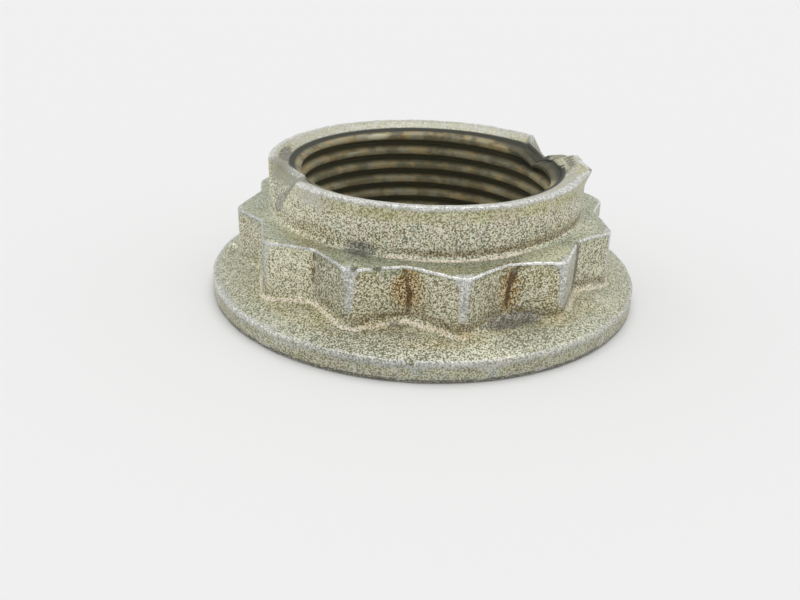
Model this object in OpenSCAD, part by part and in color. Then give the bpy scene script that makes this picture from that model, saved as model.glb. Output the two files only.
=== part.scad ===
// Twelve-point flange nut with a staked collar, as taken off a wheel hub.
// One forged and turned piece. Origin at the middle of the bearing face, +Z up the thread.
// Directions round the axis are in degrees from the front (-Y), anticlockwise seen from above.

/* [Flange] */
// outside diameter of the round flange
flange_d = 39; // [37:0.5:44]
// height of the flange's upright edge
flange_edge_h = 1.8; // [1.2:0.1:2.2]
// slope of the flange's upper face
flange_slope = 20; // [12:1:24]
// wear on the flange's upper rim
flange_wear = 0.15; // [0.05:0.05:0.3]
// rounding of the flange's lower rim
lower_round = 0.3; // [0.1:0.05:0.4]
// diameter of the small round pip on the flange
pip_d = 1.7; // [1:0.1:2]
// distance of the pip's middle from the flange's edge
pip_inset = 1.2; // [1:0.1:1.6]
// direction of the pip
pip_turn = -91; // [-100:1:-84]

/* [Drive] */
// distance across opposite flats of the drive
across_flats = 29.8; // [29.6:0.1:31]
// share of each point's full reach that its blunting leaves
point_keep = 0.985; // [0.965:0.005:0.99]
// height of the drive's shoulder beside the collar
shoulder_h = 7.85; // [7.1:0.05:8.3]
// slope of the shoulder
shoulder_slope = 4; // [1:1:8]
// slope of the bevel on top of each point
point_bevel = 14; // [10:1:25]
// how far in from the tips that bevel starts
bevel_reach = 0.75; // [0.4:0.05:1.2]
// fillet round the foot of the drive
foot_fillet = 0.5; // [0.3:0.1:1.1]
// direction of the first point
drive_turn = 11.2; // [0:0.1:30]

/* [Collar] */
// outside diameter of the collar
collar_d = 28.2; // [27.8:0.1:28.4]
// height of the rim above the bearing face
overall_h = 12.05; // [11.55:0.05:12.8]
// fillet between collar and shoulder
collar_fillet = 0.5; // [0.3:0.1:1]
// width of the flat land on the rim
rim_land = 0.6; // [0.4:0.1:0.9]
// wear on the rim's outer corner
rim_wear = 0.15; // [0.1:0.05:0.25]

/* [Thread] */
// nominal diameter of the thread
thread_d = 24; // [22:0.5:24]
// pitch of the thread
thread_pitch = 1.5; // [1:0.25:2]
// slope of the lead-in below the rim
lead_in_slope = 22; // [18:0.5:32]
// depth of the countersink under the bearing face
lower_chamfer = 0.9; // [0.5:0.1:1.2]

/* [Left stake] */
// direction of the dent's corner
left_turn = -55; // [-60:1:-50]
// how far the corner is driven in at the rim
left_depth = 1.5; // [0.8:0.1:1.8]
// angle from the corner to the dent's steep end
left_steep = 8; // [6:1:12]
// angle from the corner to the dent's shallow end
left_shallow = 27; // [20:1:30]
// how far the pushed rim sinks
left_sink = 0.15; // [0:0.05:0.4]

/* [Right stake] */
// direction of the dent's corner
right_turn = 125; // [120:1:130]
// how far the corner is driven in at the rim
right_depth = 1.7; // [0.8:0.1:1.9]
// angle from the corner to the dent's steep end
right_steep = 7; // [5:1:10]
// angle from the corner to the dent's shallow end
right_shallow = 25; // [20:1:30]
// how far the torn rim sinks
right_sink = 1.2; // [0.4:0.1:1.4]
// how far the burr stands out beside the tear
burr_out = 0.5; // [0.1:0.1:0.7]
// how far the burr reaches down from the rim
burr_drop = 1.2; // [0.8:0.1:1.6]
// angle from the dent's shallow end to the burr's middle
burr_lag = 19; // [16:1:22]

/* [Hidden] */
$fn = 96;
zinc = [0.66, 0.66, 0.55];

flange_r = flange_d / 2;
collar_r = collar_d / 2;
thread_r = thread_d / 2;
// wall of the bore where the crests of the thread lie
bore_r = thread_r - 0.5413 * thread_pitch;
land_r = collar_r - rim_land;
half_flats = across_flats / 2;
point_r = half_flats / cos(30) * point_keep;
point_count = 12;
point_step = 360 / point_count;
// where the bevel of the points meets the shoulder
bevel_r = point_r - bevel_reach;
fillet_steps = 5;
round_steps = 3;
fillet_top = shoulder_h + collar_fillet;
overlap = 0.03;
// how far a cutting shape runs past the face that it cuts
clear = 1;
// how far the flange runs in under the drive, and the blend into its walls and up inside it
flange_seat = 1;
blend_seat = 0.5;
blend_rise = 2.5;

// height where the dents fade out on the collar, clear of its fillet
stake_clear = 0.45;
stake_foot = fillet_top + stake_clear;
// how far a dent's corner leans over between foot and rim, and its width at the foot
stake_lean = 7;
foot_share = 0.2;
// narrowest land that a dent leaves on the rim, and least drop from there to the lead-in
dented_land = 0.3;
dented_drop = 0.4;
// the lengths of collar that hold the dents, a little larger than the slots they fill
patch_root = 0.35;
patch_lift = 0.1;
patch_foot = stake_foot + patch_lift;
patch_margin = 9;
slot_margin = 1.5;
patch_seat = 0.6;
patch_inner_r = bore_r - patch_seat;
patch_levels = [0, 0.2, 0.4, 0.6, 0.8, 1];
// lobe of rim beside the tear that was pushed outwards
burr_turn = right_turn - right_shallow - burr_lag;
burr_half_width = 10;
burr_margin = 4;
burr_tail = 2 * burr_half_width + burr_margin;
// how far the pushed rim sinks, against the share of the way from corner to shallow end
left_rim = [[0, left_sink], [1, 0]];
tear = [[0, 0.35], [0.2, 0.65], [0.4, 1], [0.5, 0.65], [0.75, 0.3], [0.96, 0.3], [1, 0]];
torn_rim = [for (p = tear) [p[0], p[1] * right_sink]];

function flange_z(r) = flange_edge_h + (flange_r - r) * tan(flange_slope);
function shoulder_z(r) = shoulder_h - (r - collar_r - collar_fillet) * tan(shoulder_slope);
function at(r, a, z) = [r * sin(a), -r * cos(a), z];

// outline of the drive, o outside its walls
function valley_r(o) = (half_flats + o) / cos(point_step / 2);
function point_half(o) = (half_flats + o - (point_r + o) * cos(30)) / sin(30);
function valley_at(k, o) =
    let (a = drive_turn + (k - 0.5) * point_step)
    [valley_r(o) * sin(a), -valley_r(o) * cos(a)];
function corner_at(k, side, o) =
    let (
        a = drive_turn + k * point_step,
        along = point_r + o,
        across = side * point_half(o)
    )
    [along * sin(a) + across * cos(a), -along * cos(a) + across * sin(a)];
function drive_outline(o) = [
    for (k = [0 : point_count - 1])
        let (
            before = valley_at(k, o),
            first = corner_at(k, -1, o),
            last = corner_at(k, 1, o),
            after = valley_at(k + 1, o)
        )
        each [before, (before + first) / 2, first, last, (last + after) / 2]
];

// solid through a stack of closed rings with equal point counts
module loft(rings) {
    rows = len(rings);
    cols = len(rings[0]);
    side = [
        for (i = [0 : rows - 2], j = [0 : cols - 1])
            let (
                a = i * cols + j,
                b = i * cols + (j + 1) % cols,
                c = (i + 1) * cols + (j + 1) % cols,
                d = (i + 1) * cols + j
            )
            each [[a, d, c], [a, c, b]]
    ];
    first_cap = [for (j = [0 : cols - 1]) j];
    last_cap = [for (j = [cols - 1 : -1 : 0]) (rows - 1) * cols + j];
    polyhedron(points = [for (ring = rings) each ring], faces = concat([first_cap], side, [last_cap]));
}

// concave quarter round from the shoulder up to the collar
function collar_arc() = [
    for (i = [0 : fillet_steps])
        let (a = 90 * i / fillet_steps)
        [
            collar_r + collar_fillet * (1 - sin(a)),
            shoulder_h + collar_fillet * (1 - cos(a))
        ]
];

module flange_disc() {
    inner_r = half_flats - flange_seat;
    rotate_extrude()
        polygon([
            [0, 0],
            for (a = [90 : -90 / round_steps : 0])
                [flange_r - lower_round * (1 - cos(a)), lower_round * (1 - sin(a))],
            [flange_r, flange_edge_h - flange_wear],
            [flange_r - flange_wear, flange_z(flange_r - flange_wear)],
            [inner_r, flange_z(inner_r)],
            [0, flange_z(inner_r)]
        ]);
}

// turned shoulder, collar fillet, collar and rim, cut to the drive's outline
module drive_and_collar() {
    intersection() {
        translate([0, 0, flange_edge_h / 2])
            linear_extrude(overall_h)
                polygon(drive_outline(0));
        rotate_extrude()
            polygon(concat(
                [
                    [0, flange_edge_h / 2],
                    [flange_r, flange_edge_h / 2],
                    [flange_r, shoulder_z(bevel_r) - (flange_r - bevel_r) * tan(point_bevel)],
                    [bevel_r, shoulder_z(bevel_r)]
                ],
                collar_arc(),
                [
                    [collar_r, overall_h - rim_wear],
                    [collar_r - rim_wear, overall_h],
                    [0, overall_h]
                ]
            ));
    }
}

// concave blend that follows the drive's outline down on to the sloping flange
module foot_blend() {
    blend = [
        for (i = [0 : fillet_steps])
            let (
                a = 90 * i / fillet_steps,
                o = foot_fillet * (1 - sin(a)) - overlap,
                rise = foot_fillet * (1 - cos(a)) - overlap
            )
            [for (p = drive_outline(o)) [p.x, p.y, flange_z(norm(p)) + rise]]
    ];
    loft(concat(
        [[for (p = drive_outline(foot_fillet)) [p.x, p.y, flange_edge_h / 2]]],
        blend,
        [[for (p = drive_outline(-blend_seat)) [p.x, p.y, flange_z(half_flats) + blend_rise]]]
    ));
}

module pip() {
    r = flange_r - pip_inset;
    translate(at(r, pip_turn, flange_z(r) - pip_d / 4))
        sphere(d = pip_d);
}

// share of the dent's full depth at height z
function stake_share(z) = max(0, min(1, (z - stake_foot) / (overall_h - stake_foot)));
// where direction a meets the straight line between two points given as radius and direction
function line_r(ra, aa, rb, ab, a) = ra * rb * sin(aa - ab) / (rb * sin(a - ab) - ra * sin(a - aa));
// the patch's start, the dent's shallow end, corner and steep end, and the patch's end at height z
function dent_turns(z, turn, steep, shallow, tail) =
    let (
        share = stake_share(z),
        corner = turn - stake_lean * (1 - share),
        narrowing = foot_share + (1 - foot_share) * share
    )
    [
        turn - shallow - patch_margin - tail,
        corner - shallow * narrowing,
        corner,
        corner + steep * narrowing,
        turn + steep + patch_margin
    ];
function burr(a, z) =
    let (
        near = max(0, 1 - abs(a - burr_turn) / burr_half_width),
        high = max(0, (z - overall_h + burr_drop) / burr_drop)
    )
    burr_out * near * near * (3 - 2 * near) * high;

// one upright line of the patch's outside, share t of the way along its stretch seg
function dent_point(seg, t, z, inset, turn, depth, steep, shallow, tail) =
    let (
        turns = dent_turns(z, turn, steep, shallow, tail),
        a = turns[seg] + (turns[seg + 1] - turns[seg]) * t,
        corner_r = collar_r - depth * stake_share(z),
        r = seg == 1 ? line_r(collar_r, turns[1], corner_r, turns[2], a)
            : seg == 2 ? line_r(corner_r, turns[2], collar_r, turns[3], a)
            : collar_r
    )
    [r - inset + (tail > 0 ? burr(a, z) : 0), a];

// one section of the patch, from its foot up the outside, over the rim and down to the bore
function patch_section(seg, t, inset, turn, depth, steep, shallow, tail, sink) =
    let (
        fall = seg == 1 ? lookup(1 - t, sink) : seg == 2 ? lookup(0, sink) * (1 - t) : 0,
        top = overall_h - fall - inset,
        low = patch_foot - patch_root,
        rim = dent_point(seg, t, top, inset, turn, depth, steep, shallow, tail),
        inner_r = min(land_r, rim[0] - dented_land),
        drop = (land_r - patch_inner_r) * tan(lead_in_slope),
        inner_top = overall_h - drop - inset
    )
    concat(
        [at(patch_inner_r, rim[1], low)],
        [
            for (u = patch_levels)
                let (
                    z = low + (top - rim_wear - low) * u,
                    p = dent_point(seg, t, z, inset, turn, depth, steep, shallow, tail)
                )
                at(p[0], p[1], z)
        ],
        [
            at(rim[0] - rim_wear, rim[1], top),
            at(inner_r, rim[1], top),
            at(patch_inner_r, rim[1], min(inner_top, top - dented_drop))
        ]
    );

// the length of collar that a stake has driven in, a little longer than its slot
module patch(turn, depth, steep, shallow, sink, tail = 0) {
    counts = [4 + round(tail / 2), 12, 4, 4];
    columns = [
        for (seg = [0 : 3], i = [0 : counts[seg] - 1]) [seg, i / counts[seg]],
        [3, 1]
    ];
    last = len(columns) - 1;
    loft([
        for (i = [last : -1 : 0])
            patch_section(
                columns[i][0], columns[i][1], i == 0 || i == last ? 4 * overlap : overlap,
                turn, depth, steep, shallow, tail, sink
            )
    ]);
}

// the slot in the turned collar that a patch fills
module patch_slot(turn, steep, shallow, tail = 0) {
    turns = dent_turns(overall_h, turn, steep, shallow, tail);
    first = turns[0] + slot_margin;
    last = turns[4] - slot_margin;
    reach = collar_r + clear;
    slices = 4;
    translate([0, 0, patch_foot])
        linear_extrude(overall_h)
            polygon(concat(
                [[0, 0]],
                [
                    for (i = [0 : slices])
                        let (a = first + (last - first) * i / slices, r = reach / cos((last - first) / slices / 2))
                        [r * sin(a), -r * cos(a)]
                ]
            ));
}

// bore at the crests of the thread, with the countersink under the bearing face
module thread_bore() {
    sink = lower_chamfer + clear;
    translate([0, 0, -clear])
        cylinder(r = bore_r, h = overall_h + 2 * clear);
    translate([0, 0, -clear])
        cylinder(r1 = bore_r + sink, r2 = bore_r, h = sink);
}

// cone that leads into the thread from the rim's land
module lead_in() {
    depth = (land_r - bore_r) * tan(lead_in_slope);
    widen = clear / tan(lead_in_slope);
    translate([0, 0, overall_h - depth])
        cylinder(r1 = bore_r, r2 = land_r + widen, h = depth + clear);
}

module flange_nut() {
    color(zinc)
        difference() {
            union() {
                flange_disc();
                foot_blend();
                pip();
                difference() {
                    drive_and_collar();
                    thread_bore();
                    lead_in();
                    patch_slot(left_turn, left_steep, left_shallow);
                    patch_slot(right_turn, right_steep, right_shallow, burr_tail);
                }
                patch(left_turn, left_depth, left_steep, left_shallow, left_rim);
                patch(right_turn, right_depth, right_steep, right_shallow, torn_rim, burr_tail);
            }
            thread_bore();
        }
}

// which piece is drawn

flange_nut();
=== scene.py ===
# A used flange nut of a wheel hub: twelve-point drive, fine thread, staked and torn collar
import math

import bpy
import numpy as np
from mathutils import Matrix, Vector, noise


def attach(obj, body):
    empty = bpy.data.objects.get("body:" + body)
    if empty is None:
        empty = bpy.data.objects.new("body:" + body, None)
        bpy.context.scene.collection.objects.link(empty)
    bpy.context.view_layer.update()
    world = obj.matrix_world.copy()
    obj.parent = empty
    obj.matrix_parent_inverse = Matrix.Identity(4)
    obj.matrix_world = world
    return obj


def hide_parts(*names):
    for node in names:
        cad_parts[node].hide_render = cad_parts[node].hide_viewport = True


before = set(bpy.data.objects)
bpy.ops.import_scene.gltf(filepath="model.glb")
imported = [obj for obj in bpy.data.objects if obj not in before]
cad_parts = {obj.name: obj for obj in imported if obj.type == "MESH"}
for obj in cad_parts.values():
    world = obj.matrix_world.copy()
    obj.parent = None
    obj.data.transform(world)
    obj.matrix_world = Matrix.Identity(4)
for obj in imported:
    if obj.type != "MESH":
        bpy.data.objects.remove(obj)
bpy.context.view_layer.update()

mm = 0.001


class Signal:  # a node's output that can be worked with like a number
    def __init__(self, tree, socket=None):
        self.tree = tree
        self.socket = socket

    def node(self, kind, settings=None, sockets=None, out=0):
        made = self.tree.nodes.new(kind)
        for name, value in (settings or {}).items():
            setattr(made, name, value)
        for name, value in (sockets or {}).items():
            if isinstance(value, Signal):
                self.tree.links.new(value.socket, made.inputs[name])
            else:
                made.inputs[name].default_value = value
        return Signal(self.tree, made.outputs[out])

    def pick(self, out):
        return Signal(self.tree, self.socket.node.outputs[out])

    def maths(self, operation, *values):
        return self.node("ShaderNodeMath", {"operation": operation}, dict(enumerate(values)))

    def __add__(self, other):
        return self.maths("ADD", self, other)

    def __radd__(self, other):
        return self.maths("ADD", other, self)

    def __sub__(self, other):
        return self.maths("SUBTRACT", self, other)

    def __rsub__(self, other):
        return self.maths("SUBTRACT", other, self)

    def __mul__(self, other):
        return self.maths("MULTIPLY", self, other)

    def __rmul__(self, other):
        return self.maths("MULTIPLY", other, self)

    def __truediv__(self, other):
        return self.maths("DIVIDE", self, other)

    def __rtruediv__(self, other):
        return self.maths("DIVIDE", other, self)

    def __abs__(self):
        return self.maths("ABSOLUTE", self)

    def between(self, low, high):  # 0 below low, 1 above high, smooth in between
        sockets = {"Value": self, "From Min": low, "From Max": high}
        return self.node("ShaderNodeMapRange", {"interpolation_type": "SMOOTHSTEP"}, sockets)


def linear(red, green, blue):  # a colour as a screen shows it, 0 to 255, in the renderer's units
    return tuple(((c / 255 + 0.055) / 1.055) ** 2.4 for c in (red, green, blue)) + (1.0,)


def mixed(share, first, second):  # colours, share 0 gives the first
    settings = {"data_type": "RGBA"}
    return share.node("ShaderNodeMix", settings, {0: share, 6: first, 7: second}, out=2)


# the nut's sizes, in millimetres and degrees
nut = {
    "flangeRadius": 19.5,
    "flangeEdge": 1.8,
    "flangeSlope": 20,
    "flangeWear": 0.15,
    "lowerRound": 0.3,
    "halfFlats": 14.9,
    "pointRadius": 16.947,
    "driveTurn": 11.2,
    "pointCount": 12,
    "pointRound": 0.1,
    "valleyRound": 0.15,  # in degrees of turn
    "shoulderHeight": 7.85,
    "shoulderSlope": 4,
    "bevelRadius": 16.197,
    "bevelSlope": 14,
    "bevelRound": 0.1,
    "driveEdge": 0.13,
    "footFillet": 0.5,
    "collarRadius": 14.1,
    "collarFillet": 0.5,
    "height": 12.05,
    "rimWear": 0.15,
    "landRadius": 13.5,
    "boreRadius": 11.188,
    "threadRoot": 12.1,
    "pitch": 1.5,
    "crestHeight": 1.15,  # height of a crest at the front
    "crestFlat": 0.25,  # share of the pitch
    "crestRound": 0.05,
    "flankSlope": 60,
    "rootRound": 0.12,
    "leadInSlope": 22,
    "leadInRound": 0.06,
    "countersink": 0.9,
    "mergeDistance": 2e-6,  # in metres
}


def flangeHeight(radius):
    return nut["flangeEdge"] + (nut["flangeRadius"] - radius) * math.tan(math.radians(nut["flangeSlope"]))


def spot(radius, turn, height):  # turn in degrees from the front, anticlockwise seen from above
    angle = math.radians(turn)
    return Vector((radius * math.sin(angle), -radius * math.cos(angle), height)) * mm


stakes = {
    "left": {"turn": -55, "depth": 1.5, "steep": 8, "shallow": 27, "sink": [(0, 0.15), (1, 0)]},
    "right": {
        "turn": 125,
        "depth": 1.7,
        "steep": 7,
        "shallow": 25,
        "sink": [(0, 0.42), (0.2, 0.78), (0.4, 1.2), (0.5, 0.78), (0.75, 0.36), (0.96, 0.36), (1, 0)],
    },
}
stakeShape = {
    "foot": 8.8,
    "sinkFoot": 9.5,
    "lean": 7,
    "footShare": 0.2,
    "land": 0.3,
    "margin": 9,
    "boreDepth": 1.25,  # below it the bore stays round
}
burr = {"turn": 81, "halfWidth": 10, "out": 0.5, "drop": 1.2, "wall": 0.4}
pip = {"radius": 18.3, "turn": -91, "size": 0.85}
# where the shoulder is worn low: it begins, is deepest from, deepest to, and ends
lowShoulder = {"depth": 0.12, "turns": (-6, 10, 24, 40), "heights": (4, 7.5, 8.4, 9.5)}
# dents in the edges: radius, turn, height, then size and depth
nicks = [
    ((16.2, -12, 7.75), 0.5, 0.2),
    ((16.7, -17.8, 7.65), 0.4, 0.12),
    ((19.45, -2, 1.75), 0.8, 0.25),
    ((14.1, 0.5, 11.95), 0.9, 0.16),
]


# upright lines of the mesh, in degrees: those beside a point, finer stretches, least gap
columnPlan = {
    "besidePoint": [0, 0.8, 1.25, 1.7, 2.3, 3.2, 4.6, 6.2, 7.8, 9.4, 11, 12.3, 13.3, 14.1, 14.6],
    "fine": [(-90, -40, 0.75), (70, 136, 0.65), (-96, -88, 0.4), (-14, 3, 0.4)],  # stakes, pip, nicks
    "least": 0.3,
}


def columnTurns():
    step = 360 / nut["pointCount"]
    wanted = []
    for k in range(nut["pointCount"]):
        middle = nut["driveTurn"] + k * step
        wanted += [(middle + side * d, 1) for d in columnPlan["besidePoint"] for side in (-1, 1)]
        wanted.append((middle + step / 2, 1))
    for start, end, gap in columnPlan["fine"]:
        wanted += [(turn, 0) for turn in np.arange(start, end, gap)]
    for stake in stakes.values():
        for turn in (stake["turn"] - stake["shallow"], stake["turn"], stake["turn"] + stake["steep"]):
            wanted.append((turn, 2))
    wanted = sorted(((turn + 180) % 360 - 180, rank) for turn, rank in wanted)
    kept = []
    for turn, rank in wanted:
        if kept and turn - kept[-1][0] < columnPlan["least"]:
            if rank > kept[-1][1]:  # a line that a form needs takes the place of a filler
                kept[-1] = (turn, rank)
            continue
        kept.append((turn, rank))
    return np.radians([turn for turn, rank in kept])


def ring(radius=0.0, height=0.0, **facts):
    row = {"ringRadius": radius, "ringHeight": height, "hold": 1.0, "onDrive": 0.0, "outside": 0.0}
    row.update({"level": 0.0, "rise": 0.0, "drop": 0.0, "edge": 0.0, "cove": 0.0, "isThread": 0.0})
    row.update(facts)
    return row


# the cove share is painted light and shade: a painted highlight on a fillet's foot, painted shade with dirt
# at its head
coveShares = (-0.3, 0.5, 1.0, 0.8, 0.0, -0.9, -1.0)  # light foot and dark head of a fillet


def flangeRings():
    # bearing face, upright edge and sloping top, from inside to outside and back
    outer, wear, edge, low = nut["flangeRadius"], nut["flangeWear"], nut["flangeEdge"], nut["lowerRound"]
    rings = [ring(radius, 0) for radius in (12.6, 14.5, 16.5, 18.2)]
    for share in (0, 0.25, 0.5, 0.75, 1):
        angle = share * math.pi / 2
        height = low * (1 - math.cos(angle))
        rings.append(ring(outer - low * (1 - math.sin(angle)), height, edge=share * 0.7))
    for share, worn in ((0.24, 0.4), (0.42, 0.2), (0.6, 0.2), (0.78, 0.5)):
        rings.append(ring(outer, edge * share, edge=worn))
    topRound = 1.6 * wear
    slope = math.radians(nut["flangeSlope"])
    topHeight = flangeHeight(outer - topRound * (1 - math.sin(slope))) - topRound * math.cos(slope)
    for share in (0, 0.33, 0.67, 1):
        angle = share * (math.pi / 2 - slope)
        radius = outer - topRound * (1 - math.cos(angle))
        rings.append(ring(radius, topHeight + topRound * math.sin(angle), edge=0.85))
    for hold in (0.93, 0.86, 0.79, 0.72, 0.65, 0.58, 0.5, 0.41, 0.32, 0.23, 0.14, 0.06):
        facts = {"onDrive": 1.0, "outside": nut["footFillet"], "edge": max(0, hold - 0.74) * 2.6}
        # painted shade with dirt on the flange next to the drive's foot
        facts["cove"] = -max(0, 0.32 - hold) * 1.6
        rings.append(ring(outer - topRound, hold=hold, **facts))
    return rings


def driveRings():
    # fillet at the foot, upright walls, rounded top edge and shoulder
    fillet, edge = nut["footFillet"], nut["driveEdge"]
    drive = {"hold": 0.0, "onDrive": 1.0}
    rings = []
    for i, cove in enumerate(coveShares):
        angle = math.radians(15 * i)
        outside = fillet * (1 - math.sin(angle))
        rings.append(ring(outside=outside, rise=fillet * (1 - math.cos(angle)), cove=cove, **drive))
    for level in (0.05, 0.12, 0.22, 0.36, 0.5, 0.64, 0.78, 0.9, 0.965, 0.985):
        # painted shade with dirt low on the walls, above the foot fillet
        worn = {"cove": -max(0, min(1, 1.2 - level * 7)), "edge": max(0, level - 0.965) * 15}
        rings.append(ring(level=level, rise=fillet, drop=edge, **worn, **drive))
    for i in range(4):
        angle = math.radians(30 * i)
        outside = -edge * (1 - math.cos(angle))
        rings.append(ring(level=1, outside=outside, drop=edge * (1 - math.sin(angle)), edge=1.1, **drive))
    for hold in (0.04, 0.12, 0.3, 0.5, 0.7, 0.87):
        facts = {"level": 1, "onDrive": 1.0, "outside": -edge, "edge": max(0, 0.4 - hold * 4)}
        rings.append(ring(nut["collarRadius"] + nut["collarFillet"], hold=hold, **facts))
    return rings


def collarRings():
    # fillet above the shoulder, collar and rim
    outer, fillet, wear = nut["collarRadius"], nut["collarFillet"], nut["rimWear"]
    rings = []
    for i, cove in enumerate(coveShares):
        angle = math.radians(15 * i)
        height = nut["shoulderHeight"] + fillet * (1 - math.cos(angle))
        rings.append(ring(outer + fillet * (1 - math.sin(angle)), height, cove=cove))
    foot = nut["shoulderHeight"] + fillet
    top = nut["height"] - wear
    steps = 18
    for i in range(1, steps):
        share = i / steps
        # painted shade with dirt low on the collar, above its fillet
        worn = {"cove": -max(0, min(1, 1.3 - share * 7)), "edge": max(0, share * 10 - 9)}
        rings.append(ring(outer, foot + (top - foot) * share, **worn))
    for i in range(4):
        angle = math.radians(30 * i)
        height = nut["height"] - wear * (1 - math.sin(angle))
        rings.append(ring(outer - wear * (1 - math.cos(angle)), height, edge=1.0))
    rings += [ring(radius, nut["height"], edge=1.0) for radius in (13.8, 13.65)]
    return rings


def threadRows(turns):
    # lines that climb with the thread, from the rim's inner edge down to the countersink
    shares = [-0.14, -0.105, 0.105, 0.14, 0.24, 0.33, 0.42, 0.45, 0.55, 0.58, 0.67, 0.76]
    pitch, crest, top = nut["pitch"], nut["crestHeight"], nut["height"]
    lowest = math.floor(-crest / pitch) - 1
    highest = math.ceil((top - crest) / pitch)
    nearEnd = 0.04
    rows = []
    for lap in range(lowest, highest + 1):
        for share in shares:
            height = crest + pitch * (lap + share + turns / (2 * math.pi))
            height = np.where(height > top - nearEnd, top, np.where(height < nearEnd, 0, height))
            rows.append(height)
    return rows[::-1], len(shares)


def blankMesh():
    # a closed sheet of rings and columns that carries its sizes as attributes
    turns = columnTurns()
    columns = len(turns)
    rings = flangeRings() + driveRings() + collarRings()
    rows, lap = threadRows(turns)
    carried = {key: [np.full(columns, facts[key], float) for facts in rings] for key in ring()}
    threadFacts = {"isThread": np.ones(columns), "hold": np.ones(columns)}
    for height in rows:
        for key, column in carried.items():
            column.append(height if key == "ringHeight" else threadFacts.get(key, np.zeros(columns)))
    first, last = len(rings), len(rings) + len(rows) - 1
    carried["turn"] = [turns] * (last + 1)
    faces = []
    for j in range(last + 1):
        k = (j + 1) % (last + 1)
        for i in range(columns - 1):
            faces.append((j * columns + i, j * columns + i + 1, k * columns + i + 1, k * columns + i))
        climbs = first <= j < last  # the thread's lines meet the next lap at the seam
        nearJ, nearK = (max(first, j - lap), max(first, k - lap)) if climbs else (j, k)
        end = columns - 1
        faces.append((j * columns + end, nearJ * columns, nearK * columns, k * columns + end))
    mesh = bpy.data.meshes.new("nutBlank")
    mesh.from_pydata([(0, 0, 0)] * ((last + 1) * columns), [], faces)
    for key, column in carried.items():
        layer = mesh.attributes.new(key, "FLOAT", "POINT")
        layer.data.foreach_set("value", np.concatenate(column).astype(np.float32))
    print("blank:", columns, "columns,", last + 1, "rings,", len(faces), "faces")
    return mesh


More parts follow.
